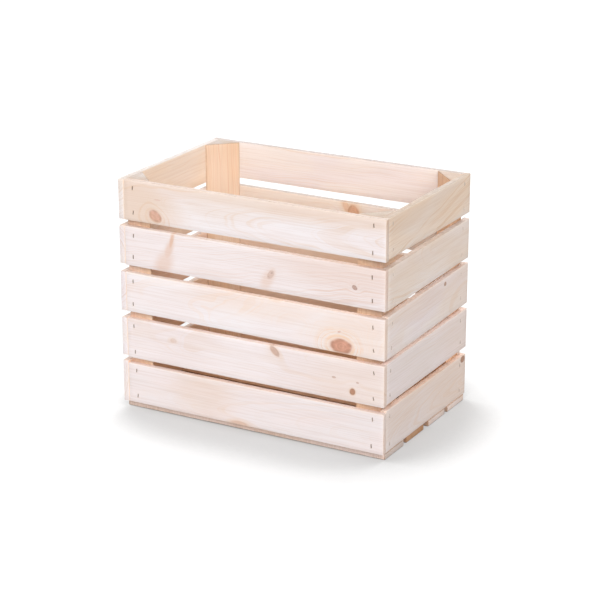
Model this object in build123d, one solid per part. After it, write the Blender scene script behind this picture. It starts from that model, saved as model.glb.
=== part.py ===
from build123d import *
import math
import os

# A slatted fruit crate in pale pine: five tiers of slats round four three-cornered posts, on a base of
# lengthwise boards, held together by staples alone. Millimetres. The origin is the middle of the underside,
# +X runs along the long side, +Y from the front to the back and +Z up.

# Overall size
LENGTH = 500.0
DEPTH = 315.0
HEIGHT = 407.0

# Sawn stock
SLAT_THICKNESS = 11.0
BASE_THICKNESS = 11.0
POST_LEG = 44.0
POST_BLUNT_EDGE = 2.0

# Slats of each wall below the rim, from the base up: the width, and the gap left above it. The rim slat
# fills what is left, so that the four walls end level.
STACKS = {
    "front": ((71.0, 10.5), (71.0, 10.5), (70.0, 12.5), (69.0, 11.5)),
    "right": ((73.5, 11.0), (71.0, 8.0), (72.5, 9.5), (69.5, 13.0)),
    "back": ((76.0, 13.0), (68.5, 12.5), (67.5, 11.5), (67.0, 14.5)),
    "left": ((74.5, 11.5), (68.5, 12.5), (69.5, 12.0), (67.0, 11.0)),
}
# Slats stapled up by eye: how far each one's right end stands above its left end, seen from outside,
# base tier first
LEAN = {
    "front": (0.0, 1.0, -3.0, -2.5, 0.0),
    "right": (0.0, 3.0, 6.0, 5.0, 0.0),
    "back": (0.0, 1.5, -1.0, 3.0, 0.0),
    "left": (0.0, -4.0, -4.0, 0.0, 0.0),
}

# Base boards from front to back: the distance of the front edge from the crate's front face, the width,
# and how far the two ends stop short of the crate's left and right faces
BASE_BOARDS = (
    (8.0, 69.0, 4.0, 0.5),
    (89.0, 65.0, 3.0, 1.5),
    (170.0, 65.0, 2.0, 0.5),
    (244.0, 65.5, 7.0, 0.0),
)

# Staples of square wire, driven until the crown is level with the wood
WIRE = 1.2
CROWN = 7.0
CROWN_BEND = 0.8
SLAT_STAPLE_LEG = 20.0
BASE_STAPLE_LEG = 18.0
STAPLE_EDGE = 14.0
LEVEL_SCATTER = 2.0
# Each wall's staples at its left and right end, seen from outside: the distance from the crate's corner, and
# the tilt that the hand gave them, in degrees
STAPLE_INSETS = {
    "front": (26.5, 21.0),
    "right": (26.0, 25.0),
    "back": (27.0, 22.0),
    "left": (27.0, 21.0),
}
STAPLE_TILTS = {
    "front": (-3.0, 10.0),
    "right": (-2.0, 6.0),
    "back": (-4.0, 8.0),
    "left": (3.0, 9.0),
}
INSET_SCATTER = 2.6
TILT_SCATTER = 8.0
POST_STAPLE_INSET = 24.0
POST_STAPLE_PLACES = (17.0, 30.0)

RIM_TIER = 4
TIERS = range(RIM_TIER + 1)

# Each wall as a plane in its outer face: local x to the right as seen from outside, local y up and
# local z outwards
WALLS = {
    "front": Plane(origin=(0, -DEPTH / 2, 0), x_dir=(1, 0, 0), z_dir=(0, -1, 0)),
    "right": Plane(origin=(LENGTH / 2, 0, 0), x_dir=(0, 1, 0), z_dir=(1, 0, 0)),
    "back": Plane(origin=(0, DEPTH / 2, 0), x_dir=(-1, 0, 0), z_dir=(0, 1, 0)),
    "left": Plane(origin=(-LENGTH / 2, 0, 0), x_dir=(0, -1, 0), z_dir=(-1, 0, 0)),
}
UNDERSIDE = Plane(origin=(0, 0, 0), x_dir=(1, 0, 0), z_dir=(0, 0, -1))

# The walls close like a pinwheel: seen from outside, each one covers the ends of the wall on its right and
# stops against the wall on its left
HALF_OUTSIDE = {"front": LENGTH / 2, "right": DEPTH / 2, "back": LENGTH / 2, "left": DEPTH / 2}

# The corner at the left and at the right end of each wall, seen from outside
ENDS = ("left", "right")
CORNERS = {
    "front": ("front_left", "front_right"),
    "right": ("front_right", "back_right"),
    "back": ("back_right", "back_left"),
    "left": ("back_left", "front_left"),
}
CORNER_SIDES = {
    "front_left": (-1, -1),
    "front_right": (1, -1),
    "back_left": (-1, 1),
    "back_right": (1, 1),
}


def scatter(seed):
    """An uneven value from -1 to 1 that is always the same for the same seed."""
    return math.sin(37.0 * seed + 1.0)


def staple(leg):
    """A staple with its crown along local y, level with the plane z = 0, and its legs pointing down."""
    outside = Pos(Z=-leg / 2) * Box(WIRE, CROWN, leg)
    bends = outside.edges().filter_by(Axis.X).group_by(Axis.Z)[-1]
    between_legs = Pos(Z=-(leg + WIRE) / 2) * Box(WIRE, CROWN - 2 * WIRE, leg - WIRE)
    return fillet(bends, CROWN_BEND) - between_legs


def slat_edges(wall, tier):
    """The levels of a slat's lower and upper edge, halfway along it."""
    low = BASE_THICKNESS + sum(width + gap for width, gap in STACKS[wall][:tier])
    high = HEIGHT if tier == RIM_TIER else low + STACKS[wall][tier][0]
    return low, high


def slat(wall, tier):
    """A slat with upright ends, whose long edges follow its lean."""
    left = SLAT_THICKNESS - HALF_OUTSIDE[wall]
    right = HALF_OUTSIDE[wall]
    low, high = slat_edges(wall, tier)
    rise = LEAN[wall][tier] / 2
    outline = Polygon(
        (left, low - rise),
        (right, low + rise),
        (right, high + rise),
        (left, high - rise),
        align=None,
    )
    return extrude(WALLS[wall] * outline, amount=-SLAT_THICKNESS)


def slat_staples(wall, tier, end):
    """The two staples that hold one end of a slat to its post; end 0 is the left one, seen from outside."""
    side = 2 * end - 1
    rise = LEAN[wall][tier] * side / 2
    low, high = slat_edges(wall, tier)
    made = []
    for place in range(2):
        seed = 2 * tier + place + 10 * end + 20 * list(WALLS).index(wall)
        inset = STAPLE_INSETS[wall][end] + INSET_SCATTER * scatter(seed)
        across = side * (HALF_OUTSIDE[wall] - inset)
        from_edge = STAPLE_EDGE + LEVEL_SCATTER * scatter(seed + 0.3)
        up = rise + (low + from_edge if place == 0 else high - from_edge)
        turn = STAPLE_TILTS[wall][end] + TILT_SCATTER * scatter(seed + 0.6)
        made.append(WALLS[wall].location * Pos(across, up) * Rot(Z=turn) * staple(SLAT_STAPLE_LEG))
    return made


def corner_post(corner):
    """A square post ripped corner to corner, with its long face inwards and its two thin edges blunted."""
    side_x, side_y = CORNER_SIDES[corner]
    corner_x = side_x * (LENGTH / 2 - SLAT_THICKNESS)
    corner_y = side_y * (DEPTH / 2 - SLAT_THICKNESS)
    inwards = (
        (0.0, 0.0),
        (POST_LEG, 0.0),
        (POST_LEG, POST_BLUNT_EDGE),
        (POST_BLUNT_EDGE, POST_LEG),
        (0.0, POST_LEG),
    )
    outline = Polygon(*[(corner_x - side_x * x, corner_y - side_y * y) for x, y in inwards], align=None)
    return extrude(Pos(Z=BASE_THICKNESS) * outline, amount=HEIGHT - BASE_THICKNESS, dir=(0, 0, 1))


def base_board(number):
    """A lengthwise board of the base, lying under the walls."""
    front_edge, width, short_left, short_right = BASE_BOARDS[number]
    run = LENGTH - short_left - short_right
    middle_x = (short_left - short_right) / 2
    middle_y = front_edge + width / 2 - DEPTH / 2
    return Pos(middle_x, middle_y, BASE_THICKNESS / 2) * Box(run, width, BASE_THICKNESS)


def base_staples(number, side_x):
    """The two staples at one end of a base board: outer boards into a post, inner ones into the end wall."""
    front_edge, width = BASE_BOARDS[number][:2]
    outer_side = {0: -1, len(BASE_BOARDS) - 1: 1}.get(number)
    if outer_side is None:
        inset = SLAT_THICKNESS / 2
        middle = front_edge + width / 2 - DEPTH / 2
        places = [middle - width / 4, middle + width / 4]
    else:
        inset = POST_STAPLE_INSET
        places = [outer_side * (DEPTH / 2 - place) for place in POST_STAPLE_PLACES]
    x = side_x * (LENGTH / 2 - inset)
    return [UNDERSIDE.location * Pos(x, -y) * staple(BASE_STAPLE_LEG) for y in places]


# Drive the staples first, so that the wood can be cut to them
in_slat = {}
in_post = {corner: [] for corner in CORNER_SIDES}
in_board = {number: [] for number in range(len(BASE_BOARDS))}
nodes = {}

for wall, corners in CORNERS.items():
    for end, (side, corner) in enumerate(zip(ENDS, corners)):
        group = []
        for tier in TIERS:
            driven = slat_staples(wall, tier, end)
            in_slat.setdefault((wall, tier), []).extend(driven)
            in_post[corner].extend(driven)
            group.extend(driven)
        nodes[f"staples_{wall}_wall_{side}_end"] = Compound(children=group)

for end_wall, side_x in zip(ENDS, (-1, 1)):
    group = []
    for number in in_board:
        driven = base_staples(number, side_x)
        in_board[number].extend(driven)
        in_slat[end_wall, 0].extend(driven)
        for corner, sides in CORNER_SIDES.items():
            if sides[0] == side_x:
                in_post[corner].extend(driven)
        group.extend(driven)
    nodes[f"staples_base_{end_wall}_end"] = Compound(children=group)

for wall in WALLS:
    for tier in TIERS:
        nodes[f"{wall}_slat_{tier + 1}"] = slat(wall, tier) - in_slat[wall, tier]
for corner in CORNER_SIDES:
    nodes[f"corner_post_{corner}"] = corner_post(corner) - in_post[corner]
for number in in_board:
    nodes[f"base_board_{number + 1}"] = base_board(number) - in_board[number]

os.makedirs("parts", exist_ok=True)
for name, shape in nodes.items():
    export_step(shape, f"parts/{name}.step")
print(f"{len(nodes)} nodes, {LENGTH:.0f} x {DEPTH:.0f} x {HEIGHT:.0f} mm")
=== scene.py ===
# %% [markdown]
# # A pine fruit crate
# Twenty sawn slats go round four three-cornered posts, over four base boards, and staples hold it all
# together. Nothing moves and nothing is painted, so the whole look rests on the wood: pale pine with growth
# rings, knots, rough sawn edges and cut ends. The frame below is the measured crate, and every piece made
# here goes exactly where its measured twin is.

# %% Load the frame
import math
import random

import bmesh
import bpy
from mathutils import Matrix, Vector, noise


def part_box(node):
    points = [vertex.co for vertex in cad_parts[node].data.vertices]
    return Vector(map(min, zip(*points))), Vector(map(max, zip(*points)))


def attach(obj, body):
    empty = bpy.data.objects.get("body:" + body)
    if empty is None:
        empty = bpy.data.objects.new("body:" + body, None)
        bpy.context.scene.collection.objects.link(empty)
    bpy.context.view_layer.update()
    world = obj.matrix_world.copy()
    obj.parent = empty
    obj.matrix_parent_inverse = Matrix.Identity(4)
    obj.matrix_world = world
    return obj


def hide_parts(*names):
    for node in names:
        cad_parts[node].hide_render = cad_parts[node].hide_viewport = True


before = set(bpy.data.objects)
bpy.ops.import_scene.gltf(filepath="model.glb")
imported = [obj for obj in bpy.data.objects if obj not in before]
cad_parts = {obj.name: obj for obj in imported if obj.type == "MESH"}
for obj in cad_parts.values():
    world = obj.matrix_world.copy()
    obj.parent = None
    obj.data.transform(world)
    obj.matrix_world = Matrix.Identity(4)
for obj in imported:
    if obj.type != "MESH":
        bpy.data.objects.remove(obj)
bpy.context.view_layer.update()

MM = 0.001
scene = bpy.context.scene

# %% [markdown]
# ## Camera
# The photograph was taken from the front right and a little above, from far enough away that the crate's
# edges hardly draw together. A long lens at the matching distance gives the same gentle perspective. The
# camera is aimed by a turn round the crate and a rise above the floor.

# %% Camera
LENS = 120.0
SENSOR = 36.0
AIM = Vector((9.6, -0.2, 189.3)) * MM
DISTANCE = 3.405
TURN = math.radians(29.1)
RISE = math.radians(18.96)

towards_camera = Vector((
    math.sin(TURN) * math.cos(RISE),
    -math.cos(TURN) * math.cos(RISE),
    math.sin(RISE),
))
camera_data = bpy.data.cameras.new("camera")
camera_data.lens = LENS
camera_data.sensor_width = SENSOR
camera_data.sensor_fit = "HORIZONTAL"
camera = bpy.data.objects.new("camera", camera_data)
camera.location = AIM + towards_camera * DISTANCE
camera.rotation_euler = (math.pi / 2 - RISE, 0.0, TURN)
scene.collection.objects.link(camera)
scene.camera = camera
scene.view_settings.view_transform = "Standard"
print("camera at", [round(value, 3) for value in camera.location])

# %% [markdown]
# ## Small helpers for node trees
# A wood finish takes many small sums, so these helpers keep each of them to one line: a socket is either
# linked to another socket or set to a plain number, and each helper hands back the socket that carries its
# answer.

# %% Sums
def feed(tree, socket, value):
    """Links a socket to another one, or sets it to a plain value."""
    if isinstance(value, bpy.types.NodeSocket):
        tree.links.new(value, socket)
    else:
        socket.default_value = value


def work_out(tree, operation, *values):
    """One sum on plain numbers."""
    node = tree.nodes.new("ShaderNodeMath")
    node.operation = operation
    for socket, value in zip(node.inputs, values):
        feed(tree, socket, value)
    return node.outputs["Value"]


def plus(tree, first, second):
    """Two numbers added."""
    return work_out(tree, "ADD", first, second)


def times(tree, first, second):
    """Two numbers multiplied."""
    return work_out(tree, "MULTIPLY", first, second)


def times_plus(tree, first, second, third):
    """Two numbers multiplied, with a third added to that."""
    return work_out(tree, "MULTIPLY_ADD", first, second, third)


def vector_sum(tree, operation, *values, scale=None):
    """One sum on vectors."""
    node = tree.nodes.new("ShaderNodeVectorMath")
    node.operation = operation
    for socket, value in zip(node.inputs, values):
        feed(tree, socket, value)
    if scale is not None:
        feed(tree, node.inputs["Scale"], scale)
    return node.outputs["Value"] if operation == "LENGTH" else node.outputs["Vector"]


print("sums ready")

# %% Noise, colours and groups
def ease(tree, value, start, end):
    """0 at the start, 1 at the end, and a soft slope between them."""
    node = tree.nodes.new("ShaderNodeMapRange")
    node.interpolation_type = "SMOOTHSTEP"
    feed(tree, node.inputs["Value"], value)
    feed(tree, node.inputs["From Min"], start)
    feed(tree, node.inputs["From Max"], end)
    return node.outputs["Result"]


def cloud(tree, place, stretch, detail=2.0):
    """Soft noise from 0 to 1, with its own spacing along, across and through a board."""
    node = tree.nodes.new("ShaderNodeTexNoise")
    feed(tree, node.inputs["Vector"], vector_sum(tree, "MULTIPLY", place, stretch))
    node.inputs["Scale"].default_value = 1.0
    node.inputs["Detail"].default_value = detail
    return node.outputs


def blend(tree, share, first, second, how="MIX"):
    """Goes from the first colour to the second by a share."""
    node = tree.nodes.new("ShaderNodeMix")
    node.data_type = "RGBA"
    node.blend_type = how
    feed(tree, node.inputs["Factor"], share)
    feed(tree, node.inputs["A"], first)
    feed(tree, node.inputs["B"], second)
    return node.outputs["Result"]


def tinted(tree, colour, tint):
    """A colour seen through a tint."""
    return blend(tree, 1.0, colour, tint, how="MULTIPLY")


def split(tree, vector):
    """The three parts of a vector."""
    node = tree.nodes.new("ShaderNodeSeparateXYZ")
    feed(tree, node.inputs["Vector"], vector)
    return node.outputs


def new_group(name, inputs, outputs):
    """An empty node group with sockets named by kind, and the two ends to wire up inside it."""
    group = bpy.data.node_groups.new(name, "ShaderNodeTree")
    for way, kinds in (("INPUT", inputs), ("OUTPUT", outputs)):
        for kind, labels in kinds.items():
            for label in labels.split(", "):
                group.interface.new_socket(label, in_out=way, socket_type="NodeSocket" + kind)
    given = group.nodes.new("NodeGroupInput").outputs
    made = group.nodes.new("NodeGroupOutput").inputs
    return group, given, made


def place_group(tree, group, **values):
    """Puts a node group into a material; a socket called Half Width is given as half_width."""
    node = tree.nodes.new("ShaderNodeGroup")
    node.node_tree = group
    for label, value in values.items():
        feed(tree, node.inputs[label.replace("_", " ").title()], value)
    return node.outputs


print("noise, colours and groups ready")

# %% [markdown]
# ## Stage and light
# The crate stands on pale paper under a large soft light high on the right of the camera, with weaker
# ones on the left and behind, so the front is brightest, the right end a little duller, and light falls
# deep into the crate. Most of the white around it is a glow that is seen, straight or in a shiny surface,
# but doesn't light the wood. The glow is weaker beside the crate on its front and right, and goes out
# under its foot, so the floor keeps a soft shadow.

# %% Floor
FLOOR_SIZE = 12.0
FLOOR_SQUARES = 8
FLOOR_PAINT = (0.4, 0.4, 0.4, 1.0)
FLOOR_GLOW = 0.72
SHADED_GLOW = 0.45
SHADOW_REACH = 0.21
LIT_SIDE = -0.22
SHADED_SIDE = -0.03
BESIDE_CRATE = (0.95, 0.62)
UNDER_CRATE = (0.05, 0.4)


def seen_directly(tree):
    """1 for the rays that show the background itself, straight or in a shiny or clear surface."""
    path = tree.nodes.new("ShaderNodeLightPath").outputs
    shiny = work_out(tree, "MAXIMUM", path["Is Glossy Ray"], path["Is Transmission Ray"])
    return work_out(tree, "MAXIMUM", path["Is Camera Ray"], shiny)


paper = bpy.data.materials.new("white_paper")
paper.use_nodes = True
tree = paper.node_tree
tree.nodes.clear()
matt = tree.nodes.new("ShaderNodeBsdfDiffuse")
matt.inputs["Color"].default_value = FLOOR_PAINT
glow = tree.nodes.new("ShaderNodeEmission")
occlusion = tree.nodes.new("ShaderNodeAmbientOcclusion")
occlusion.inputs["Distance"].default_value = SHADOW_REACH
openness = occlusion.outputs["AO"]
spot = split(tree, tree.nodes.new("ShaderNodeTexCoord").outputs["Object"])
on_shaded_side = ease(tree, work_out(tree, "SUBTRACT", spot["X"], spot["Y"]), LIT_SIDE, SHADED_SIDE)
shade = times(tree, on_shaded_side, ease(tree, openness, *BESIDE_CRATE))
fading = times_plus(tree, shade, FLOOR_GLOW * (SHADED_GLOW - 1.0), FLOOR_GLOW)
fading = times(tree, fading, ease(tree, openness, *UNDER_CRATE))
feed(tree, glow.inputs["Strength"], times(tree, seen_directly(tree), fading))
both = tree.nodes.new("ShaderNodeAddShader")
tree.links.new(matt.outputs["BSDF"], both.inputs[0])
tree.links.new(glow.outputs["Emission"], both.inputs[1])
tree.links.new(both.outputs["Shader"], tree.nodes.new("ShaderNodeOutputMaterial").inputs["Surface"])

paper_shape = bmesh.new()
bmesh.ops.create_grid(paper_shape, x_segments=FLOOR_SQUARES, y_segments=FLOOR_SQUARES, size=FLOOR_SIZE)
paper_mesh = bpy.data.meshes.new("floor")
paper_shape.to_mesh(paper_mesh)
paper_shape.free()
paper_mesh.materials.append(paper)
floor = bpy.data.objects.new("floor", paper_mesh)
scene.collection.objects.link(floor)
print("white floor", 2 * FLOOR_SIZE, "m across")

# %% Background
FILL_LIGHT = 0.14
WHITE = (1.0, 1.0, 1.0, 1.0)

sky = bpy.data.worlds.new("studio")
sky.use_nodes = True
tree = sky.node_tree
background = tree.nodes["Background"]
background.inputs["Color"].default_value = WHITE
extra = times(tree, seen_directly(tree), 1.0 - FILL_LIGHT)
feed(tree, background.inputs["Strength"], plus(tree, extra, FILL_LIGHT))
scene.world = sky
print("background lights the wood to", FILL_LIGHT)

# %% Lamps
LAMPS = {
    "right_softbox": ((0.57, -0.6, 0.5), 45.0, 0.86),
    "left_softbox": ((-0.5, -0.7, 0.42), 45.0, 0.275),
    "back_softbox": ((-0.45, 0.75, 0.5), 60.0, 0.6),
}
for name, (towards, spread, level) in LAMPS.items():
    softbox = bpy.data.lights.new(name, "SUN")
    softbox.angle = math.radians(spread)
    softbox.energy = level * math.pi
    lamp = bpy.data.objects.new(name, softbox)
    lamp.rotation_euler = Vector(towards).to_track_quat("Z", "Y").to_euler()
    scene.collection.objects.link(lamp)
    print(name, "lights a facing surface to", level)

# %% [markdown]
# ## Knots
# A knot is a branch that the trunk grew round: a darker heart with rings of its own, a brown rim, a stain
# in the wood beside it, and growth rings that bend out of its way. One node group makes all of that from
# a place, two half sizes and a slant, in the board's own millimetres, so that each board can have the
# knots that it shows. The spans are counted in half sizes from the knot's middle.

# %% Knot outline
NOISE_MIDDLE = 0.5
UNEVEN_STRETCH = (0.9, 0.9, 0.9)
UNEVEN_SHARE = 0.24
FRAY_STRETCH = (0.05, 0.11, 0.11)
FRAY_SHARE = 0.22

knot_group, given, made = new_group(
    "knot",
    {"Vector": "Place, Middle", "Float": "Half Length, Half Width, Slant, Heart Depth, Stain Depth"},
    {"Float": "Heart, Dark, Stain, Swirl, Push"},
)
tree = knot_group
offset = vector_sum(tree, "SUBTRACT", given["Place"], given["Middle"])
turner = tree.nodes.new("ShaderNodeVectorRotate")
turner.rotation_type = "Z_AXIS"
feed(tree, turner.inputs["Vector"], offset)
feed(tree, turner.inputs["Angle"], times(tree, given["Slant"], -1.0))
turned = split(tree, turner.outputs["Vector"])
oval = tree.nodes.new("ShaderNodeCombineXYZ")
feed(tree, oval.inputs["X"], work_out(tree, "DIVIDE", turned["X"], given["Half Length"]))
feed(tree, oval.inputs["Y"], work_out(tree, "DIVIDE", turned["Y"], given["Half Width"]))
spot = oval.outputs["Vector"]
own_spot = vector_sum(tree, "ADD", spot, given["Middle"])
uneven = cloud(tree, own_spot, UNEVEN_STRETCH)["Fac"]
fray = cloud(tree, given["Place"], FRAY_STRETCH)["Fac"]
frayed = times(tree, work_out(tree, "SUBTRACT", fray, NOISE_MIDDLE), FRAY_SHARE)
ragged = times_plus(tree, work_out(tree, "SUBTRACT", uneven, NOISE_MIDDLE), UNEVEN_SHARE, frayed)
smooth_reach = vector_sum(tree, "LENGTH", spot)
reach = plus(tree, ragged, smooth_reach)
print("knot outline:", len(tree.nodes), "nodes")

# %% Knot colours
HEART_SPAN = (1.25, 0.7)
RIM_START = (0.65, 0.85)
RIM_STOP = (1.12, 0.95)
RIM_BLOTCHES = (0.25, 0.5)
RIM_DARK = 0.45
BLOTCH_STRETCH = (1.7, 1.7, 1.7)
BLOTCH_SPAN = (0.4, 0.6)
BLOTCH_DARK = 0.2
RINGS_PER_KNOT = 22.0
RING_DARK = 0.08
PLAIN_DARK = 0.06
HALO_SPAN = (2.6, 0.6)
HALO_FALL = 1.6

blotches = cloud(tree, own_spot, BLOTCH_STRETCH)["Fac"]
heart = times(tree, ease(tree, reach, *HEART_SPAN), given["Heart Depth"])
feed(tree, made["Heart"], heart)
rim = times(tree, ease(tree, reach, *RIM_START), ease(tree, reach, *RIM_STOP))
rim = times(tree, rim, ease(tree, blotches, *RIM_BLOTCHES))
rings = work_out(tree, "SINE", times(tree, reach, RINGS_PER_KNOT))
rings = times_plus(tree, rings, RING_DARK, PLAIN_DARK)
rings = times_plus(tree, ease(tree, blotches, *BLOTCH_SPAN), BLOTCH_DARK, rings)
dark = times_plus(tree, rim, RIM_DARK, rings)
feed(tree, made["Dark"], times(tree, dark, heart))
halo = work_out(tree, "POWER", ease(tree, reach, *HALO_SPAN), HALO_FALL)
feed(tree, made["Stain"], times(tree, halo, given["Stain Depth"]))
print("with its colours:", len(tree.nodes), "nodes")

# %% Knot in the grain
SWIRL_SPAN = (3.4, 1.2)
SWIRL_WIDTHS = (6.0, 13.0)
SWIRL_PATCHES = (0.42, 0.58)
FAINT_SWIRL = 0.3
PUSH_SIZE = 3.4
PUSH_FALL = -0.2
PUSH_RAGGED = 0.5
NATURAL_BASE = 2.718

patchy = times_plus(tree, ease(tree, uneven, *SWIRL_PATCHES), 1.0 - FAINT_SWIRL, FAINT_SWIRL)
swirl = times(tree, ease(tree, given["Half Width"], *SWIRL_WIDTHS), patchy)
swirl = times(tree, swirl, ease(tree, reach, *SWIRL_SPAN))
feed(tree, made["Swirl"], times(tree, swirl, given["Heart Depth"]))
bending = times_plus(tree, ragged, PUSH_RAGGED, smooth_reach)
falling = times(tree, work_out(tree, "POWER", bending, 2.0), PUSH_FALL)
nearness = work_out(tree, "POWER", NATURAL_BASE, falling)
pushing = times(tree, given["Half Width"], times(tree, given["Heart Depth"], PUSH_SIZE))
feed(tree, made["Push"], times(tree, nearness, pushing))
print("knot group:", len(tree.nodes), "nodes")

# %% [markdown]
# ## Pine
# A board is a slice of a trunk, and a trunk is a set of rings round its pith. So the rings are drawn in
# the solid: the distance from a pith line beside the board, divided by the width of a year's growth.
# Sliced along the trunk they show as stripes and pointed arches, and on a cut end as arcs, with no seam
# between the two. Each year starts pale and ends in a thin darker line. Fine fibres, clouds of a second
# tint and a few resin flecks go with them.

# %% Growth rings
SEED_SHIFT = (317.0, 173.0, 71.0)
CROSSWISE = (0.0, 1.0, 1.0)
SWAY_STRETCH = (0.006, 0.012, 0.012)
SWAY_SIZE = 26.0
RIPPLE_STRETCH = (0.018, 0.04, 0.04)
RIPPLE_SIZE = 3.0
UNEQUAL_PACE = 0.31
UNEQUAL_SIZE = 2.2
LATE_WOOD = (0.45, 0.9)
YEAR_END = (1.0, 0.92)
FAINT_YEAR = 0.3

pine_group, given, made = new_group(
    "pine",
    {"Vector": "Place, Pith, Pith Run", "Color": "Pale, Blush, Line, Knot Colour",
     "Float": "Ring Width, Seed, Contrast, Heart, Dark, Stain, Swirl, Push"},
    {"Color": "Colour", "Float": "Years, Height, Roughness"},
)
tree = pine_group
shift = vector_sum(tree, "SCALE", SEED_SHIFT, scale=given["Seed"])
shifted = vector_sum(tree, "ADD", given["Place"], shift)
drift = vector_sum(tree, "SCALE", given["Pith Run"], scale=split(tree, given["Place"])["X"])
pith_here = vector_sum(tree, "ADD", given["Pith"], drift)
from_pith = vector_sum(tree, "SUBTRACT", given["Place"], pith_here)
sway = cloud(tree, shifted, SWAY_STRETCH)["Color"]
sway = vector_sum(tree, "SUBTRACT", sway, (NOISE_MIDDLE,) * 3)
sway = vector_sum(tree, "SCALE", sway, scale=SWAY_SIZE)
from_pith = vector_sum(tree, "ADD", from_pith, sway)
from_pith = vector_sum(tree, "MULTIPLY", from_pith, CROSSWISE)
radius = vector_sum(tree, "LENGTH", from_pith)
ripple = cloud(tree, shifted, RIPPLE_STRETCH, detail=1.0)["Fac"]
radius = plus(tree, radius, times(tree, ripple, RIPPLE_SIZE))
radius = plus(tree, radius, given["Push"])
years = work_out(tree, "DIVIDE", radius, given["Ring Width"])
unequal = tree.nodes.new("ShaderNodeTexNoise")
unequal.noise_dimensions = "1D"
feed(tree, unequal.inputs["W"], plus(tree, times(tree, years, UNEQUAL_PACE), given["Seed"]))
years = plus(tree, years, times(tree, unequal.outputs["Fac"], UNEQUAL_SIZE))
season = work_out(tree, "FRACT", years)
late = times(tree, ease(tree, season, *LATE_WOOD), ease(tree, season, *YEAR_END))
harvest = tree.nodes.new("ShaderNodeTexWhiteNoise")
harvest.noise_dimensions = "1D"
feed(tree, harvest.inputs["W"], plus(tree, work_out(tree, "FLOOR", years), given["Seed"]))
strength = times_plus(tree, harvest.outputs["Value"], 1.0 - FAINT_YEAR, FAINT_YEAR)
late = times(tree, late, strength)
feed(tree, made["Years"], late)
print("growth rings:", len(tree.nodes), "nodes")

# %% Colour of the pine
CLOUD_STRETCH = (0.007, 0.022, 0.022)
CLEAR_CLOUDS = (0.3, 0.62)
BLUSH_CLOUDS = (0.36, 0.64)
SWIRL_CLEARNESS = 0.95
FIBRE_STRETCH = (0.01, 0.6, 0.6)
FIBRE_SPAN = (0.4, 0.72)
FIBRE_TINT = (0.93, 0.9, 0.88, 1.0)
FIBRE_ROUGHNESS = 0.3
SMOOTHEST = 0.48
FLECK_STRETCH = (0.09, 0.8, 0.8)
FLECK_SPAN = (0.74, 0.82)
FLECK_DEPTH = 0.16
KNOT_DARK_TINT = (0.5, 0.4, 0.36, 1.0)
LINE_HEIGHT = 0.5
DARK_HEIGHT = -0.6

clouds = split(tree, cloud(tree, shifted, CLOUD_STRETCH)["Color"])
clearness = times(tree, given["Contrast"], ease(tree, clouds["Y"], *CLEAR_CLOUDS))
clearness = times_plus(tree, given["Swirl"], SWIRL_CLEARNESS, clearness)
lines = times(tree, late, clearness)
fibres = cloud(tree, shifted, FIBRE_STRETCH, detail=3.0)["Fac"]
flecks = ease(tree, cloud(tree, shifted, FLECK_STRETCH, detail=0.0)["Fac"], *FLECK_SPAN)
patches = ease(tree, clouds["X"], *BLUSH_CLOUDS)
wood = blend(tree, patches, given["Pale"], given["Blush"])
wood = blend(tree, lines, wood, given["Line"])
dulled = tinted(tree, wood, FIBRE_TINT)
wood = blend(tree, ease(tree, fibres, *FIBRE_SPAN), wood, dulled)
wood = blend(tree, times(tree, flecks, FLECK_DEPTH), wood, given["Line"])
wood = blend(tree, given["Stain"], wood, given["Line"])
wood = blend(tree, given["Heart"], wood, given["Knot Colour"])
knot_dark = tinted(tree, given["Knot Colour"], KNOT_DARK_TINT)
wood = blend(tree, given["Dark"], wood, knot_dark)
feed(tree, made["Colour"], wood)
height = times_plus(tree, lines, LINE_HEIGHT, fibres)
feed(tree, made["Height"], times_plus(tree, given["Dark"], DARK_HEIGHT, height))
feed(tree, made["Roughness"], times_plus(tree, fibres, FIBRE_ROUGHNESS, SMOOTHEST))
print("pine group:", len(tree.nodes), "nodes")

# %% [markdown]
# ## Sawn faces
# The wide faces are smooth, but the cut ends show their pores and years, the narrow edges keep the marks of
# the blade, and the corners are rubbed to a thin line, which on the base boards and posts is painted shade.
# Each board tints its ends, edges, corners and inner face in its own way. The edge tints also paint light
# on the lower slats' edges in the gaps and shade between the base boards, and the inner tints paint shade
# that deepens down into the crate and on the posts' faces behind the slats, with some painted light on the
# left wall. The faces tell themselves apart by the way they point, and the corners by how near a point is
# to two faces of the board at once.

# %% Faces, edges and ends
INNER_SPAN = (0.4, 0.8)
SQUARE_ON = (0.55, 0.9)
PORE_STRETCH = (2.0, 2.0, 2.0)
PORE_SPAN = (0.45, 0.75)
PORE_DEPTH = 0.3
NAP_STRETCH = (0.07, 1.0, 1.0)
TEETH_STRETCH = (0.7, 0.05, 0.05)
TORN_SPAN = (0.95, 1.25)
TORN_TINT = (0.86, 0.8, 0.75, 1.0)
END_LINE_TINT = (0.95, 0.91, 0.87, 1.0)

sawn_group, given, made = new_group(
    "sawn_faces",
    {"Vector": "Place, Facing, Half Size", "Float": "Years, Height, Corner Share, Inner Side",
     "Color": "Colour, End Tint, Edge Tint, Corner Tint, Inner Tint"},
    {"Color": "Colour", "Float": "Height"},
)
tree = sawn_group
inwards = times(tree, split(tree, given["Facing"])["Z"], given["Inner Side"])
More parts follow.
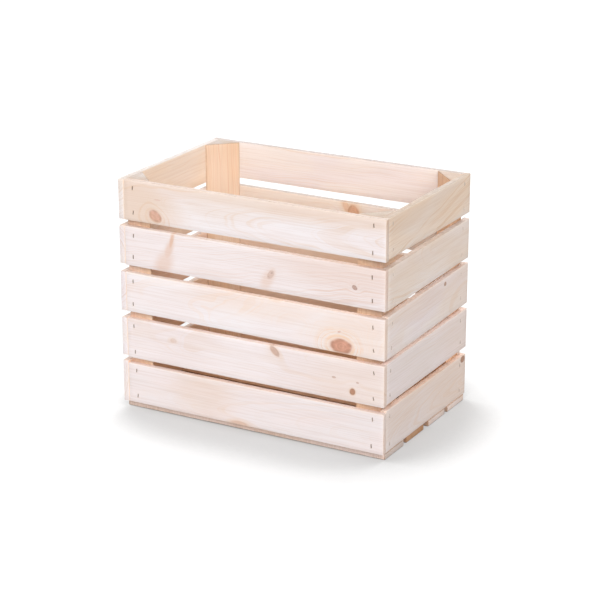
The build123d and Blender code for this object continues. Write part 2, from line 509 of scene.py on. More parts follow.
# Painted shade: the inner face takes a tint that darkens it deeper in the crate, or lightens it.
inner_shaded_wood = tinted(tree, given["Colour"], given["Inner Tint"])
face_wood = blend(tree, ease(tree, inwards, *INNER_SPAN), given["Colour"], inner_shaded_wood)
facing = split(tree, vector_sum(tree, "ABSOLUTE", given["Facing"]))
on_end = ease(tree, facing["X"], *SQUARE_ON)
on_edge = ease(tree, facing["Y"], *SQUARE_ON)
pores = cloud(tree, given["Place"], PORE_STRETCH)["Fac"]
nap = cloud(tree, given["Place"], NAP_STRETCH, detail=3.0)["Fac"]
teeth = cloud(tree, given["Place"], TEETH_STRETCH)["Fac"]
end_wood = tinted(tree, given["Colour"], given["End Tint"])
end_dark = tinted(tree, end_wood, END_LINE_TINT)
end_lines = times_plus(tree, ease(tree, pores, *PORE_SPAN), PORE_DEPTH, given["Years"])
end_wood = blend(tree, end_lines, end_wood, end_dark)
edge_wood = tinted(tree, given["Colour"], given["Edge Tint"])
edge_dark = tinted(tree, edge_wood, TORN_TINT)
torn = ease(tree, plus(tree, nap, teeth), *TORN_SPAN)
edge_wood = blend(tree, torn, edge_wood, edge_dark)
wood = blend(tree, on_edge, face_wood, edge_wood)
wood = blend(tree, on_end, wood, end_wood)
print("faces, edges and ends:", len(tree.nodes), "nodes")

# %% Corners and saw marks
RUB_AND_SHADE_DEPTHS = (2.0, 0.4)
RUB_AND_SHADE_NAP = (0.25, 0.6)
GRIT_HEIGHT = 1.2

from_middle = vector_sum(tree, "ABSOLUTE", given["Place"])
depth = split(tree, vector_sum(tree, "SUBTRACT", given["Half Size"], from_middle))
nearest = work_out(tree, "MINIMUM", depth["X"], depth["Y"])
next_one = work_out(tree, "MAXIMUM", depth["X"], depth["Y"])
corner_depth = work_out(tree, "MAXIMUM", nearest, work_out(tree, "MINIMUM", next_one, depth["Z"]))
# On most boards the corner line is a rubbed peach tint; on base boards and posts it is painted shade.
rubbed_and_shaded = times(tree, ease(tree, corner_depth, *RUB_AND_SHADE_DEPTHS), ease(tree, nap, *RUB_AND_SHADE_NAP))
rubbed_and_shaded = times(tree, rubbed_and_shaded, given["Corner Share"])
feed(tree, made["Colour"], blend(tree, rubbed_and_shaded, wood, given["Corner Tint"]))
saw_marks = times(tree, plus(tree, nap, teeth), on_edge)
grit = times_plus(tree, pores, on_end, saw_marks)
feed(tree, made["Height"], times_plus(tree, grit, GRIT_HEIGHT, given["Height"]))
print("sawn faces group:", len(tree.nodes), "nodes")

# %% [markdown]
# ## A finish for each board
# Every board came from its own place in its own log, so each one gets its own material from the same three
# groups. A Mapping node turns the crate's coordinates into the board's own: along, across and through, in
# millimetres from its middle. That keeps the grain running lengthwise whichever way the board stands.

# %% Pine material
SHEEN = 0.28
BUMP_DEPTH = 0.25 * MM
BUMP_STRENGTH = 0.5


def pine_finish(name, turn, middle, half_size, log, inner_side):
    """A pine material for one board; inner_side, 1 or -1, is the side that gets the painted inner shading.
    """
    finish = bpy.data.materials.new(name)
    finish.use_nodes = True
    tree = finish.node_tree
    shader = tree.nodes["Principled BSDF"]
    shader.inputs["Specular IOR Level"].default_value = SHEEN
    coordinates = tree.nodes.new("ShaderNodeTexCoord").outputs

    to_board = tree.nodes.new("ShaderNodeMapping")
    to_board.vector_type = "POINT"
    to_board.inputs["Rotation"].default_value = turn.to_euler()
    to_board.inputs["Scale"].default_value = (1.0 / MM, 1.0 / MM, 1.0 / MM)
    to_board.inputs["Location"].default_value = -(turn @ middle) / MM
    feed(tree, to_board.inputs["Vector"], coordinates["Object"])
    place = to_board.outputs["Vector"]

    to_facing = tree.nodes.new("ShaderNodeMapping")
    to_facing.vector_type = "VECTOR"
    to_facing.inputs["Rotation"].default_value = turn.to_euler()
    feed(tree, to_facing.inputs["Vector"], coordinates["Normal"])

    sums = {}
    for mark in log["knots"]:
        marks = place_group(tree, knot_group, place=place, **mark)
        for label, value in marks.items():
            joined = "ADD" if label == "Push" else "MAXIMUM"
            sums[label] = work_out(tree, joined, sums[label], value) if label in sums else value
    grain = place_group(
        tree, pine_group, place=place, pith=(0.0, *log["pith"]), pith_run=(0.0, *log["run"]),
        ring_width=log["ring"], seed=log["seed"], contrast=log["contrast"], pale=log["pale"],
        blush=log["blush"], line=log["line"], knot_colour=log["knot"],
        **{label.lower(): value for label, value in sums.items()})
    sawn = place_group(
        tree, sawn_group, place=place, facing=to_facing.outputs["Vector"], half_size=half_size / MM,
        colour=grain["Colour"], years=grain["Years"], height=grain["Height"], end_tint=log["end_tint"],
        edge_tint=log["edge_tint"], corner_tint=log["corner_tint"], corner_share=log["corner_share"],
        inner_side=inner_side, inner_tint=log["inner_tint"])
    feed(tree, shader.inputs["Base Color"], sawn["Colour"])
    feed(tree, shader.inputs["Roughness"], grain["Roughness"])
    bump = tree.nodes.new("ShaderNodeBump")
    bump.inputs["Strength"].default_value = BUMP_STRENGTH
    bump.inputs["Distance"].default_value = BUMP_DEPTH
    feed(tree, bump.inputs["Height"], sawn["Height"])
    feed(tree, shader.inputs["Normal"], bump.outputs["Normal"])
    return finish


print("pine finish ready")

# %% [markdown]
# ## Logs
# These are the boards' own features: where the pith lay, how it ran, how wide the years were, the tints,
# and the knots. A knot is its place along and across the board, its two half sizes, its slant, and how
# deep the colours of its heart and of the stain round it are. What the photograph hides is made up, and a
# board with nothing written down for it gets features from a seeded shuffle, so they never change.

# %% Colours of the wood
CHALK = (0.95, 0.893, 0.903, 1.0)
MIST = (0.885, 0.81, 0.808, 1.0)
SHELL = (0.935, 0.848, 0.845, 1.0)
PETAL = (0.905, 0.805, 0.795, 1.0)
# A darker pale for the lowest right slats: painted shade towards the bottom of the wall.
SHADED_DUSK = (0.87, 0.775, 0.745, 1.0)
CREAM = (0.925, 0.83, 0.785, 1.0)
PEACH = (0.905, 0.78, 0.69, 1.0)
WHEAT = (0.94, 0.77, 0.635, 1.0)
TAN = (0.85, 0.66, 0.51, 1.0)
HONEY = (0.83, 0.6, 0.42, 1.0)
APRICOT = (0.92, 0.64, 0.44, 1.0)
AMBER = (0.8, 0.56, 0.38, 1.0)
ROSE = (0.74, 0.39, 0.28, 1.0)
RUSSET = (0.54, 0.29, 0.19, 1.0)
UMBER = (0.5, 0.31, 0.25, 1.0)
CLAY = (0.78, 0.52, 0.39, 1.0)
RUST = (0.78, 0.44, 0.28, 1.0)
BROWN = (0.46, 0.26, 0.17, 1.0)
print("colours of the wood ready")

# %% Tints of ends, edges and corners
END_TINT = (0.95, 0.88, 0.81, 1.0)
RIM_END_TINT = (0.88, 0.79, 0.69, 1.0)
LEFT_END_TINT = (1.0, 1.02, 1.05, 1.0)
POST_END_TINT = (0.78, 0.88, 1.04, 1.0)
# Painted shade: base board 1's end is tinted darker, as it lies in shade under the wall.
FRONT_BASE_END_PAINTED_SHADE = (0.8, 0.77, 0.76, 1.0)
BROWN_BASE_END_TINT = (0.62, 0.46, 0.34, 1.0)
GREY_BASE_END_TINT = (0.92, 0.88, 0.88, 1.0)
BACK_BASE_END_TINT = (0.95, 0.91, 0.91, 1.0)
EDGE_TINT = (0.85, 0.78, 0.71, 1.0)
RIM_TINT = (0.93, 0.93, 0.93, 1.0)
# Painted light: the lower front slats' edges are tinted lighter, as they sit in the shade of the gaps.
MIDDLE_PAINTED_LIGHT_EDGE_TINT = (0.93, 0.86, 0.8, 1.0)
PAINTED_LIGHT_EDGE_TINT = (1.0, 0.93, 0.88, 1.0)
BACK_EDGE_TINT = (0.74, 0.74, 0.75, 1.0)
LEFT_RIM_TINT = (0.95, 1.0, 1.05, 1.0)
RIGHT_RIM_TINT = (0.75, 0.76, 0.77, 1.0)
SIDE_EDGE_TINT = (0.87, 0.85, 0.84, 1.0)
# Painted light: the lower right slats' edges are tinted lighter, against the shade of the gaps.
MIDDLE_SIDE_PAINTED_LIGHT_EDGE_TINT = (0.97, 0.92, 0.88, 1.0)
LOW_SIDE_PAINTED_LIGHT_EDGE_TINT = (1.1, 1.03, 0.98, 1.0)
BASE_EDGE_TINT = (0.92, 0.84, 0.81, 1.0)
# Painted shade for the base boards' edges, which face each other across narrow gaps.
PAINTED_GAP_SHADE_EDGE_TINT = (0.55, 0.42, 0.34, 1.0)
# Painted shade on the inner faces, darker and warmer deeper in the crate; on the left wall, painted light
# and shade.
INNER_PAINTED_SHADE = (0.94, 0.79, 0.63, 1.0)
MIDDLE_INNER_PAINTED_SHADE = (0.97, 0.86, 0.74, 1.0)
UPPER_INNER_PAINTED_SHADE = (0.97, 0.985, 0.98, 1.0)
LEFT_INNER_PAINTED_SHADING = {5: (1.07, 1.02, 0.92, 1.0), 4: (1.02, 0.94, 0.81, 1.0), 3: (1.02, 0.88, 0.74, 1.0)}
CORNER_TINT = (0.97, 0.83, 0.71, 1.0)
CORNER_SHARE = 0.5
# Painted shade for the corners of base boards and posts, where they sit tight under or against other
# boards.
PAINTED_CORNER_SHADE = (0.32, 0.17, 0.09, 1.0)
PAINTED_CORNER_SHADE_SHARE = 0.75
print("tints ready")

# %% Log helpers
PLAIN_BOARD = dict(
    line=AMBER, knot=ROSE, contrast=0.35, knots=(), end_tint=END_TINT, edge_tint=EDGE_TINT,
    inner_tint=INNER_PAINTED_SHADE, corner_tint=CORNER_TINT, corner_share=CORNER_SHARE)


def knot(along, across, half_length, half_width, slant=0.0, heart=0.8, halo=0.35):
    """One knot, with the slant in degrees and the depths of its heart and of the stain round it."""
    return dict(middle=(along, across, 0.0), half_length=half_length, half_width=half_width,
                slant=math.radians(slant), heart_depth=heart, stain_depth=halo)


def stain(along, across, half_length, half_width, depth, slant=0.0):
    """A stain in the wood: a knot without its heart."""
    return knot(along, across, half_length, half_width, slant, 0.0, depth)


def log(pith, run, ring, pale, blush, **features):
    """One board's features, with those of a plain pale board where nothing else is said."""
    return {**PLAIN_BOARD, "pith": pith, "run": run, "ring": ring, "pale": pale, "blush": blush, **features}


print("log helpers ready")

# %% Logs of the front and right walls
LOGS = {
    "front_slat_5": log(
        (-8, -42), (0.02, 0.1), 6.0, CHALK, SHELL, contrast=0.4, edge_tint=RIM_TINT, end_tint=RIM_END_TINT,
        knots=(
            # The broad stain at the left end is warm wood and also painted shade, darker at the end away
            # from the light.
            knot(-183, -20, 13, 9, -28, 0.66, 0.5), stain(-235, -8, 68, 40, 0.58),
            stain(-45, 38, 22, 8, 0.4), knot(-41, 37, 6, 2, 0, 0.5, 0.2),
            knot(-178, 8, 6, 1.2, 0, 0.25, 0.2), stain(40, 36, 230, 17, 0.46),
            stain(-70, 18, 60, 20, 0.26))),
    "front_slat_4": log(
        (-70, -40), (0.11, 0.02), 3.6, SHELL, SHELL, line=CLAY, knot=UMBER, contrast=0.5, knots=(
            stain(-152, 22, 12, 2.6, 0.9, 76), stain(-158, 4, 14, 5, 0.6, 68),
            stain(-168, -20, 17, 10, 0.5, 60), knot(37, -6, 9, 5, 55, 0.25, 0.5),
            stain(195, 20, 100, 22, 0.3), stain(31, -15, 14, 7, 0.4, 60),
            knot(39, -3, 2.2, 1.5, 40, 0.6, 0.1), knot(33, -10, 1.8, 1.3, 0, 0.5, 0.1),
            knot(190, -3, 4.8, 3.6, -35, 0.75, 0.35))),
    "front_slat_3": log(
        (-21, -150), (-0.02, 0.07), 6.5, CHALK, SHELL, line=APRICOT, contrast=0.25,
        edge_tint=MIDDLE_PAINTED_LIGHT_EDGE_TINT, knots=(
            knot(167, -24, 19, 13, 0, 1.0, 0.6), stain(45, 37, 12, 6, 0.5),
            knot(163, 0, 3, 1.5, 20, 0.5, 0.2), stain(185, -4, 58, 30, 0.32),
            stain(20, 22, 95, 18, 0.26))),
    "front_slat_2": log(
        (30, -60), (0.03, 0.05), 5.5, SHELL, PETAL, knot=RUSSET, contrast=0.2, edge_tint=PAINTED_LIGHT_EDGE_TINT,
        knots=(
            knot(44, 27, 11, 5.5, -42, 0.5, 0.4), knot(188, -17, 5, 5.5, 0, 1.0, 0.75),
            knot(-152, 10, 6, 4, 0, 0.15, 0.25), knot(154, 2, 3.5, 1.8, 0, 0.5, 0.2),
            knot(197, 0, 2.5, 1.5, 0, 0.5, 0.2), stain(195, -5, 60, 35, 0.22))),
    "front_slat_1": log(
        (-10, -55), (0.01, 0.07), 6.0, MIST, PETAL, contrast=0.25, edge_tint=PAINTED_LIGHT_EDGE_TINT, knots=(
            knot(-25, -35, 17, 6, 0, 0.25, 0.6), stain(-95, 4, 40, 28, 0.26))),
    "right_slat_5": log(
        (-60, -30), (0.2, 0.03), 6.5, WHEAT, PEACH, contrast=0.85, edge_tint=RIGHT_RIM_TINT, knots=(
            stain(70, 8, 90, 26, 0.24), stain(-85, 22, 65, 16, 0.4))),
    "right_slat_4": log(
        (20, -50), (0.05, 0.08), 5.0, CREAM, PEACH, contrast=0.4, edge_tint=SIDE_EDGE_TINT, knots=(
            stain(105, 8, 55, 28, 0.18), stain(-30, 22, 100, 18, 0.26))),
    "right_slat_3": log(
        (-20, -60), (0.03, 0.06), 5.0, PETAL, CREAM, knot=BROWN, contrast=0.3,
        edge_tint=MIDDLE_SIDE_PAINTED_LIGHT_EDGE_TINT, knots=(
            knot(61, 27, 4.5, 3.5), stain(115, 0, 55, 35, 0.24), stain(-40, 24, 90, 14, 0.22))),
    # The two lowest right slats are darker, painted shade towards the bottom of the wall.
    "right_slat_2": log(
        (60, -70), (0.03, 0.02), 5.0, SHADED_DUSK, PETAL, contrast=0.3, edge_tint=LOW_SIDE_PAINTED_LIGHT_EDGE_TINT, knots=(
            stain(125, 0, 55, 35, 0.16),)),
    "right_slat_1": log(
        (-15, -25), (0.03, 0.12), 5.0, SHADED_DUSK, SHADED_DUSK, knot=BROWN, contrast=0.3, edge_tint=LOW_SIDE_PAINTED_LIGHT_EDGE_TINT,
        knots=(
            knot(140, 30, 8, 6, 0, 0.95), stain(110, 0, 80, 40, 0.3), stain(0, 35, 90, 6, 0.35),
            stain(-105, 20, 70, 20, 0.2))),
}
print(len(LOGS), "logs of the walls that show")

# %% Logs of the back and left walls
LOGS.update({
    "back_slat_5": log(
        (60, -50), (0.04, 0.02), 5.0, CREAM, PETAL, contrast=0.5, edge_tint=BACK_EDGE_TINT,
        inner_tint=UPPER_INNER_PAINTED_SHADE),
    "back_slat_4": log(
        (-20, -50), (0.03, 0.05), 5.5, CREAM, PEACH, knot=RUST, contrast=0.5, edge_tint=BACK_EDGE_TINT,
        inner_tint=UPPER_INNER_PAINTED_SHADE, knots=(
            knot(40, 15, 11, 15, 15, 0.8, 0.8), knot(27, 24, 13, 6, -55, 0.3, 0.7),
            knot(105, 18, 15, 8, 0, 0.12, 0.4))),
    "back_slat_3": log(
        (40, -45), (0.05, 0.04), 5.0, CREAM, PEACH, contrast=0.4, inner_tint=MIDDLE_INNER_PAINTED_SHADE),
    "back_slat_2": log(
        (-50, -55), (0.02, 0.07), 5.5, CREAM, PEACH, contrast=0.4, inner_tint=MIDDLE_INNER_PAINTED_SHADE),
    "left_slat_5": log(
        (60, -50), (0.02, 0.02), 5.0, PEACH, CREAM, contrast=0.28, edge_tint=LEFT_RIM_TINT,
        end_tint=LEFT_END_TINT, inner_tint=LEFT_INNER_PAINTED_SHADING[5]),
    "left_slat_4": log(
        (-30, -60), (0.04, 0.06), 5.0, CREAM, PETAL, contrast=0.4, end_tint=LEFT_END_TINT,
        inner_tint=LEFT_INNER_PAINTED_SHADING[4]),
    "left_slat_3": log(
        (20, -40), (-0.03, 0.05), 5.5, SHELL, PETAL, contrast=0.4, end_tint=LEFT_END_TINT,
        inner_tint=LEFT_INNER_PAINTED_SHADING[3]),
    "left_slat_2": log(
        (-40, -45), (0.05, -0.04), 5.0, SHELL, CREAM, end_tint=LEFT_END_TINT, knots=(
            knot(-60, 12, 9, 6, 20), knot(74, -18, 6, 4, -15))),
    "left_slat_1": log(
        (10, -60), (-0.04, 0.06), 5.5, PETAL, CREAM, end_tint=LEFT_END_TINT, knots=(
            knot(35, -8, 10, 7, -30),)),
})
print(len(LOGS), "logs with the back and left")

# %% Logs of the base boards and posts
def base_log(pith, pale, blush, end_tint, edge_tint=PAINTED_GAP_SHADE_EDGE_TINT):
    """A base board's features: rough tan wood, painted shade in its corners and by default on its edges."""
    return log(pith, (0.02, 0.05), 5.0, pale, blush, contrast=0.45, end_tint=end_tint, edge_tint=edge_tint,
               corner_tint=PAINTED_CORNER_SHADE, corner_share=PAINTED_CORNER_SHADE_SHARE)


LOGS["base_board_1"] = base_log((-30, -45), PEACH, CREAM, FRONT_BASE_END_PAINTED_SHADE, BASE_EDGE_TINT)
LOGS["base_board_2"] = base_log((0, -40), HONEY, PEACH, BROWN_BASE_END_TINT)
LOGS["base_board_3"] = base_log((25, -55), CREAM, PEACH, GREY_BASE_END_TINT)
LOGS["base_board_4"] = base_log((10, -35), CREAM, PEACH, BACK_BASE_END_TINT)


def post_log(pith, pale, blush, shade):
    """A post's features: tan wood, greyer ends, and painted shade on its thin edges and behind slats."""
    return log(pith, (0.01, 0.02), 4.2, pale, blush, line=RUST, contrast=0.6, end_tint=POST_END_TINT,
               edge_tint=WHITE, inner_tint=shade, corner_tint=PAINTED_CORNER_SHADE)


# The last colour of each post is painted shade for its faces behind the slats.
LOGS["corner_post_back_left"] = post_log((-120, -30), HONEY, TAN, (0.9, 0.8, 0.7, 1.0))
LOGS["corner_post_back_right"] = post_log((110, -40), APRICOT, APRICOT, (0.85, 0.75, 0.65, 1.0))
LOGS["corner_post_front_left"] = post_log((-45, -50), HONEY, TAN, (0.95, 0.9, 0.94, 1.0))
LOGS["corner_post_front_right"] = post_log((10, -65), HONEY, HONEY, (0.72, 0.67, 0.69, 1.0))
print(len(LOGS), "logs with the base and posts")

# %% Logs of other boards
SEED_STEP = 0.73


def hidden_log(name):
    """Made-up features for a hidden board, always the same for the same name."""
    pick = random.Random(name)
    knots = tuple(
        knot(pick.uniform(-200, 200), pick.uniform(-26, 26), pick.uniform(5, 13), pick.uniform(4, 9),
             pick.uniform(-50, 50), pick.uniform(0.4, 0.9), pick.uniform(0.2, 0.4))
        for count in range(pick.choice((0, 1, 2, 2, 3))))
    return log(
        (pick.uniform(-60, 60), pick.uniform(-70, -25)),
        (pick.uniform(-0.08, 0.08), pick.uniform(-0.1, 0.1)),
        pick.uniform(4.5, 6.5), pick.choice((SHELL, SHELL, CREAM)), pick.choice((CREAM, PEACH)),
        contrast=pick.uniform(0.2, 0.45), knots=knots)


for number, name in enumerate(sorted(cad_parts)):
    if not name.startswith("staples"):
        LOGS.setdefault(name, hidden_log(name))
        LOGS[name]["seed"] = number * SEED_STEP
print(len(LOGS), "logs,", sum(len(features["knots"]) for features in LOGS.values()), "knots")

# %% [markdown]
# ## Staples
# The ends of the slats and base boards are held by two staples each, of flattened steel wire, driven until
# the crown lies level with the wood. The measured staples say where each one is and how it tilts, so they
# are read first: their dents go into the boards.

# %% Where the staples are
OUTWARDS = {
    "front": Vector((0, -1, 0)),
    "right": Vector((1, 0, 0)),
    "back": Vector((0, 1, 0)),
    "left": Vector((-1, 0, 0)),
    "base": Vector((0, 0, -1)),
}
LEVEL = 0.01 * MM


def loose_lumps(shape):
    """The separate lumps of a mesh, each as a sorted list of its points."""
    waiting = set(shape.verts)
    lumps = []
    while waiting:
        front = [waiting.pop()]
        lump = []
        while front:
            vertex = front.pop()
            lump.append(vertex.co.copy())
            for edge in vertex.link_edges:
                other = edge.other_vert(vertex)
                if other in waiting:
                    waiting.discard(other)
                    front.append(other)
        lumps.append(sorted(lump, key=tuple))
    return lumps


def read_staples(node):
    """The middle of each crown, the way it runs, the way out of the wood, and the length of the legs."""
    outwards = OUTWARDS[node.split("_")[1]]
    crown_axis = Vector((0, 1, 0)) if "_base_" in node else Vector((0, 0, 1))
    shape = bmesh.new()
    shape.from_mesh(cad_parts[node].data)
    bmesh.ops.remove_doubles(shape, verts=shape.verts, dist=LEVEL)
    found = []
    for lump in loose_lumps(shape):
        reach = [point @ outwards for point in lump]
        crown = [point for point, out in zip(lump, reach) if out > max(reach) - LEVEL]
        crown.sort(key=lambda point: point @ crown_axis)
        half = len(crown) // 2
        low_end = sum(crown[:half], Vector()) / half
        high_end = sum(crown[-half:], Vector()) / half
        crown_way = (high_end - low_end).normalized()
        found.append(((low_end + high_end) / 2, crown_way, outwards, max(reach) - min(reach)))
    shape.free()
    return sorted(found, key=lambda staple: tuple(staple[0]))


STAPLES = {node: read_staples(node) for node in sorted(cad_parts) if node.startswith("staples")}
print(sum(len(group) for group in STAPLES.values()), "staples in", len(STAPLES), "groups")

# %% [markdown]
# ## Boards
# A sawn board is a long block whose corners are lightly rubbed. It starts as a cube, is scaled to the
# measured board and gets its corners bevelled. Cuts along its length let it bow a little, let its edges
# wander as a saw does and let it lean as the measured one leans, and each staple gets a dent. The inner
# face stays flat, so it lies snugly on the posts.

# %% Piece helper
SMOOTH_BELOW = math.radians(40.0)


def finish_piece(name, shape, finish, node):
    """Turns a shape into a piece of the crate that stands for its measured twin."""
    bmesh.ops.recalc_face_normals(shape, faces=shape.faces)
    mesh = bpy.data.meshes.new(name)
    shape.to_mesh(mesh)
    shape.free()
    for face in mesh.polygons:
        face.use_smooth = True
    mesh.set_sharp_from_angle(angle=SMOOTH_BELOW)
    mesh.materials.append(finish)
    piece = bpy.data.objects.new(name, mesh)
    scene.collection.objects.link(piece)
    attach(piece, "root")
    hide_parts(node)
    return piece


print("piece helper ready")

# %% Rounding, cutting and denting
CORNER_STEPS = 2
DENT_HALF_WIDTH = 1.1 * MM
DENT_HALF_LENGTH = 4.0 * MM
DENT_DEPTH = 0.6 * MM
DENT_SLOPE = 0.3 * MM
FACING_OUT = 0.9


def round_corners(shape, offset):
    """Bevels every edge of a block."""
    bmesh.ops.bevel(shape, geom=shape.edges[:], offset=offset, offset_type="OFFSET", affect="EDGES",
                    segments=CORNER_STEPS, profile=0.5, material=-1, clamp_overlap=True)


def only(parts, kind):
    """Those parts of a shape that are of one kind, such as its edges."""
    return [part for part in parts if isinstance(part, kind)]


def cut_through(shape, point, way, clear_outer=False):
    """Cuts a whole shape with a plane, unless it is cut there already, and hands back the edges."""
    everything = shape.verts[:] + shape.edges[:] + shape.faces[:]
    cut = bmesh.ops.bisect_plane(
        shape, geom=everything, dist=LEVEL, plane_co=point, plane_no=way, clear_outer=clear_outer)
    return only(cut["geom_cut"], bmesh.types.BMEdge)


def dent(shape, along, across, outer):
    """Presses one staple's dent into the outer face of a board that lies flat."""
    for value, axis in ((along, Vector((1, 0, 0))), (across, Vector((0, 1, 0)))):
        half = DENT_HALF_WIDTH if axis.x else DENT_HALF_LENGTH
        for side in (-1, 1):
            cut_through(shape, axis * (value + side * half), axis)
    pressed = []
    for face in shape.faces:
        centre = face.calc_center_median()
        inside = abs(centre.x - along) < DENT_HALF_WIDTH and abs(centre.y - across) < DENT_HALF_LENGTH
        if inside and face.normal.z * outer > FACING_OUT:
            pressed.append(face)
    bmesh.ops.inset_region(
        shape, faces=pressed, thickness=DENT_SLOPE, depth=-DENT_DEPTH, use_even_offset=True)


print("rounding, cutting and denting ready")

# %% Board helper
CORNER_ROUND = 0.8 * MM
SLICE = 9.0 * MM
EDGE_WANDER = 0.35 * MM
WANDER_LENGTH = 45.0 * MM
BOW = 0.5 * MM
SHAPE_SEED = 10.0


def sawn_board(name, turn, outer):
    """A board like the measured one; outer is the side of its thickness that the staples go in, 1 or -1."""
    low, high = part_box(name)
    middle = (low + high) / 2
    points = [turn @ (vertex.co - middle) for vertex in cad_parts[name].data.vertices]
    half = Vector([max(point[axis] for point in points) for axis in range(3)])
    ends = []
    for side in (-1, 1):
        heights = [point.y for point in points if point.x * side > half.x - LEVEL]
        ends.append((min(heights), max(heights)))
    width = ends[0][1] - ends[0][0]
    rise = [(low_edge + high_edge) / 2 for low_edge, high_edge in ends]

    shape = bmesh.new()
    bmesh.ops.create_cube(shape, size=1.0)
    bmesh.ops.scale(shape, vec=(2 * half.x, width, 2 * half.z), verts=shape.verts)
    round_corners(shape, CORNER_ROUND)
    long_edges = [edge for edge in shape.edges if edge.calc_length() > half.x]
    bmesh.ops.subdivide_edges(shape, edges=long_edges, cuts=int(2 * half.x / SLICE), use_grid_fill=True)
    shape.normal_update()
    for group in STAPLES.values():
        for crown, crown_way, outwards, leg in group:
            spot = turn @ (crown - middle)
            on_face = abs(spot.z - outer * half.z) < LEVEL
            if on_face and abs(spot.x) < half.x and abs(spot.y) < half.y:
                lean_here = rise[0] + (rise[1] - rise[0]) * (spot.x / half.x + 1) / 2
                dent(shape, spot.x, spot.y - lean_here, outer)

    seed = LOGS[name]["seed"] * SHAPE_SEED
    bow = BOW * math.sin(seed)
    for vertex in shape.verts:
        spot = vertex.co
        share = spot.x / half.x
        side = spot.y / (width / 2)
        wander = noise.noise(Vector((spot.x / WANDER_LENGTH, seed, round(side))))
        spot.y += side * EDGE_WANDER * (wander - NOISE_MIDDLE)
        if spot.z * outer > 0:
            spot.z += outer * (bow * (1.0 - share * share) - BOW)
        spot.y += rise[0] + (rise[1] - rise[0]) * (share + 1) / 2
    stand = Matrix.Translation(middle) @ turn.transposed().to_4x4()
    bmesh.ops.transform(shape, matrix=stand, verts=shape.verts)
    finish = pine_finish(name, turn, middle, Vector((half.x, width / 2, half.z)), LOGS[name], -outer)
    return finish_piece("pine_" + name, shape, finish, name)


print("board helper ready")

# %% [markdown]
# ## Slats
# The four walls close like a pinwheel: seen from outside, each one covers the ends of the wall on its
# right and stops against the wall on its left. All of their slats are made alike and turned one of two
# ways, along the crate or across it, with their width upright.

# %% Slats
def board_turn(along, across):
    """A turn that lays a board's length along x, its width along y and its thickness along z."""
    along = Vector(along)
    across = Vector(across)
    return Matrix((along, across, along.cross(across)))


ALONG_CRATE = board_turn((1, 0, 0), (0, 0, 1))
ACROSS_CRATE = board_turn((0, 1, 0), (0, 0, 1))
WALLS = {
    "front": (ALONG_CRATE, 1),
    "back": (ALONG_CRATE, -1),
    "right": (ACROSS_CRATE, 1),
    "left": (ACROSS_CRATE, -1),
}
TIERS = range(1, 6)
for wall, (turn, outer) in WALLS.items():
    slats = [sawn_board(f"{wall}_slat_{tier}", turn, outer) for tier in TIERS]
    print(wall, "wall:", len(slats), "slats of", len(slats[0].data.polygons), "faces")

# %% [markdown]
# ## Base boards
# Four boards lie lengthwise under the walls, a little short at some ends. They are sawn as the slats are,
# but lie flat and take their staples from below.

# %% Base boards
LYING = board_turn((1, 0, 0), (0, 1, 0))
base = [sawn_board(f"base_board_{number}", LYING, -1) for number in range(1, 5)]
print(len(base), "base boards")

# %% [markdown]
# ## Corner posts
# Each post is half of a square bar, ripped from corner to corner, with its long face towards the inside
# and its two thin edges blunted. A block cut with a slanting plane gives that outline, and the cut is
# closed with a new face.

# %% Corner posts
BLUNT = 2.0 * MM
POST_ROUND = CORNER_ROUND * 0.7
POST_WANDER_LENGTH = 50.0 * MM
POST_BAND = 4 * MM
UPRIGHT_SHARE = 0.8
CUT_FACE_SHARE = 0.6
UP = Vector((0, 0, 1))


def corner_post(name, side_x, side_y):
    """A three-cornered post; the two sides say which corner of the crate it stands in."""
    low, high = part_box(name)
    middle = (low + high) / 2
    size = high - low
    inwards = Vector((-side_x, -side_y, 0.0)).normalized()
    shape = bmesh.new()
    bmesh.ops.create_cube(shape, size=1.0)
    bmesh.ops.scale(shape, vec=size, verts=shape.verts)
    bmesh.ops.translate(shape, vec=middle, verts=shape.verts)
    corner = Vector((high.x if side_x > 0 else low.x, high.y if side_y > 0 else low.y, middle.z))
    on_cut = corner + Vector((-side_x * size.x, -side_y * BLUNT, 0.0))
    bmesh.ops.edgeloop_fill(shape, edges=cut_through(shape, on_cut, inwards, clear_outer=True))
    bmesh.ops.recalc_face_normals(shape, faces=shape.faces)
    round_corners(shape, POST_ROUND)
    upright = [edge for edge in shape.edges if edge.calc_length() > size.z * UPRIGHT_SHARE]
    bmesh.ops.subdivide_edges(shape, edges=upright, cuts=int(size.z / SLICE), use_grid_fill=True)
    seed = LOGS[name]["seed"] * SHAPE_SEED
    for vertex in shape.verts:
        spot = vertex.co - corner
        if spot @ inwards > size.x * CUT_FACE_SHARE:
            band = round(spot.x / POST_BAND)
            wander = noise.noise(Vector((vertex.co.z / POST_WANDER_LENGTH, seed, band)))
            vertex.co += inwards * EDGE_WANDER * (wander - NOISE_MIDDLE)
    across = UP.cross(inwards)
    turn = Matrix((UP, -across, inwards))
    turn = turn if turn.determinant() > 0 else Matrix((UP, across, inwards))
    thickness = (size.x + BLUNT) / math.sqrt(2)
    half_size = Vector((size.z / 2, (size.x - BLUNT / 2) / math.sqrt(2), thickness / 2))
    finish = pine_finish(name, turn, corner + inwards * thickness / 2, half_size, LOGS[name], -1)
    return finish_piece("pine_" + name, shape, finish, name)


for front_or_back, side_y in (("front", -1), ("back", 1)):
    for left_or_right, side_x in (("left", -1), ("right", 1)):
        post = corner_post(f"corner_post_{front_or_back}_{left_or_right}", side_x, side_y)
        print(post.name, len(post.data.polygons), "faces")

# %% [markdown]
# ## Staples in place
# A staple is one piece of wire with two tight bends. A small ring of points is pushed up the first leg,
# spun round the bend, pushed along the crown, spun again and pushed down the other leg. One shape serves
# for a whole group of staples.

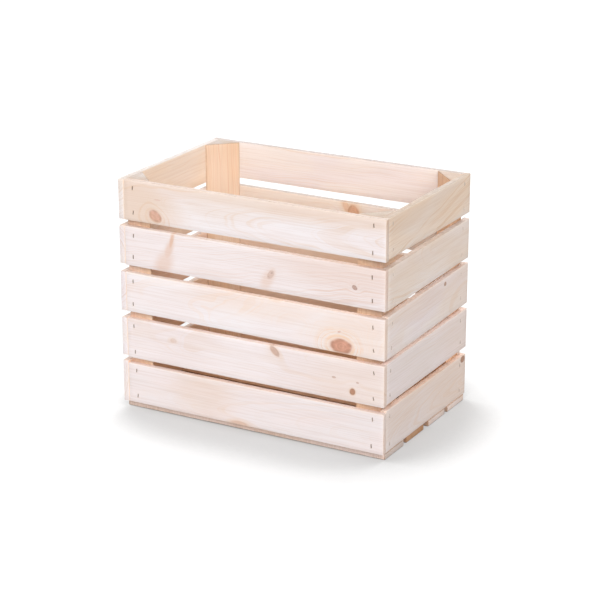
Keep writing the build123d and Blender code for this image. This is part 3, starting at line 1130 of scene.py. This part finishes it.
# %% Staple steel
METAL = 0.7
TARNISH_STRETCH = (0.6, 0.6, 0.6)
TARNISH_SPAN = (0.35, 0.65)
BRIGHT_ROUGHNESS = 0.42
TARNISH_ROUGHNESS = 0.25


def steel_finish(name, bright, dull):
    """Drawn wire: a dull metal with darker blotches of tarnish."""
    steel = bpy.data.materials.new(name)
    steel.use_nodes = True
    tree = steel.node_tree
    shader = tree.nodes["Principled BSDF"]
    shader.inputs["Metallic"].default_value = METAL
    coordinates = tree.nodes.new("ShaderNodeTexCoord").outputs
    place = vector_sum(tree, "SCALE", coordinates["Object"], scale=1.0 / MM)
    tarnish = ease(tree, cloud(tree, place, TARNISH_STRETCH, detail=3.0)["Fac"], *TARNISH_SPAN)
    feed(tree, shader.inputs["Base Color"], blend(tree, tarnish, bright, dull))
    feed(tree, shader.inputs["Roughness"], times_plus(tree, tarnish, TARNISH_ROUGHNESS, BRIGHT_ROUGHNESS))
    return steel


DARK_STEEL = steel_finish("dark_staple_steel", (0.34, 0.27, 0.22, 1.0), (0.19, 0.13, 0.1, 1.0))
# The right wall's staples take a paler steel, so that they show fainter there.
PALE_STEEL = steel_finish("pale_staple_steel", (0.62, 0.54, 0.48, 1.0), (0.4, 0.33, 0.28, 1.0))
print(DARK_STEEL.name, "and", PALE_STEEL.name)

# %% Staple wire
WIRE_ACROSS = 1.5 * MM
WIRE_DEEP = 1.1 * MM
WIRE_SIDES = 8
CROWN = 7.0 * MM
BEND = 0.9 * MM
BEND_STEPS = 3


def push(shape, rim, way):
    """Pushes an open rim of edges straight on and hands back the new rim."""
    grown = bmesh.ops.extrude_edge_only(shape, edges=rim)["geom"]
    bmesh.ops.translate(shape, vec=way, verts=only(grown, bmesh.types.BMVert))
    return [edge for edge in only(grown, bmesh.types.BMEdge) if edge.is_boundary]


def bend(shape, rim, centre):
    """Spins an open rim a quarter turn round a bend."""
    spun = bmesh.ops.spin(
        shape, geom=rim, cent=centre, axis=(1, 0, 0), angle=-math.pi / 2, steps=BEND_STEPS)
    return only(spun["geom_last"], bmesh.types.BMEdge)


def staple_wire(leg):
    """A staple with its crown along y, level with z = 0, and its legs pointing down."""
    shape = bmesh.new()
    bmesh.ops.create_circle(shape, cap_ends=True, segments=WIRE_SIDES, radius=0.5)
    bmesh.ops.scale(shape, vec=(WIRE_ACROSS, WIRE_DEEP, 1.0), verts=shape.verts)
    half = CROWN / 2 - WIRE_DEEP / 2
    bmesh.ops.translate(shape, vec=(0.0, -half, -leg), verts=shape.verts)
    straight = leg - BEND - WIRE_DEEP / 2
    rim = push(shape, shape.edges[:], Vector((0, 0, straight)))
    turn_level = -BEND - WIRE_DEEP / 2
    rim = bend(shape, rim, (0.0, -half + BEND, turn_level))
    rim = push(shape, rim, Vector((0, 2 * (half - BEND), 0)))
    rim = bend(shape, rim, (0.0, half - BEND, turn_level))
    rim = push(shape, rim, Vector((0, 0, -straight)))
    bmesh.ops.edgeloop_fill(shape, edges=rim)
    bmesh.ops.recalc_face_normals(shape, faces=shape.faces)
    mesh = bpy.data.meshes.new("staple_wire")
    shape.to_mesh(mesh)
    shape.free()
    return mesh


print("staple wire ready")

# %% Staples
for node, group in STAPLES.items():
    wire = staple_wire(group[0][3])
    shape = bmesh.new()
    for crown, crown_way, outwards, leg in group:
        before = set(shape.verts)
        shape.from_mesh(wire)
        added = [vertex for vertex in shape.verts if vertex not in before]
        sideways = crown_way.cross(outwards)
        stand = Matrix((sideways, crown_way, outwards)).transposed().to_4x4()
        stand.translation = crown
        bmesh.ops.transform(shape, matrix=stand, verts=added)
    steel = PALE_STEEL if "right_wall" in node else DARK_STEEL
    piece = finish_piece("wire_" + node, shape, steel, node)
    bpy.data.meshes.remove(wire)
    print(piece.name, len(piece.data.polygons), "faces")
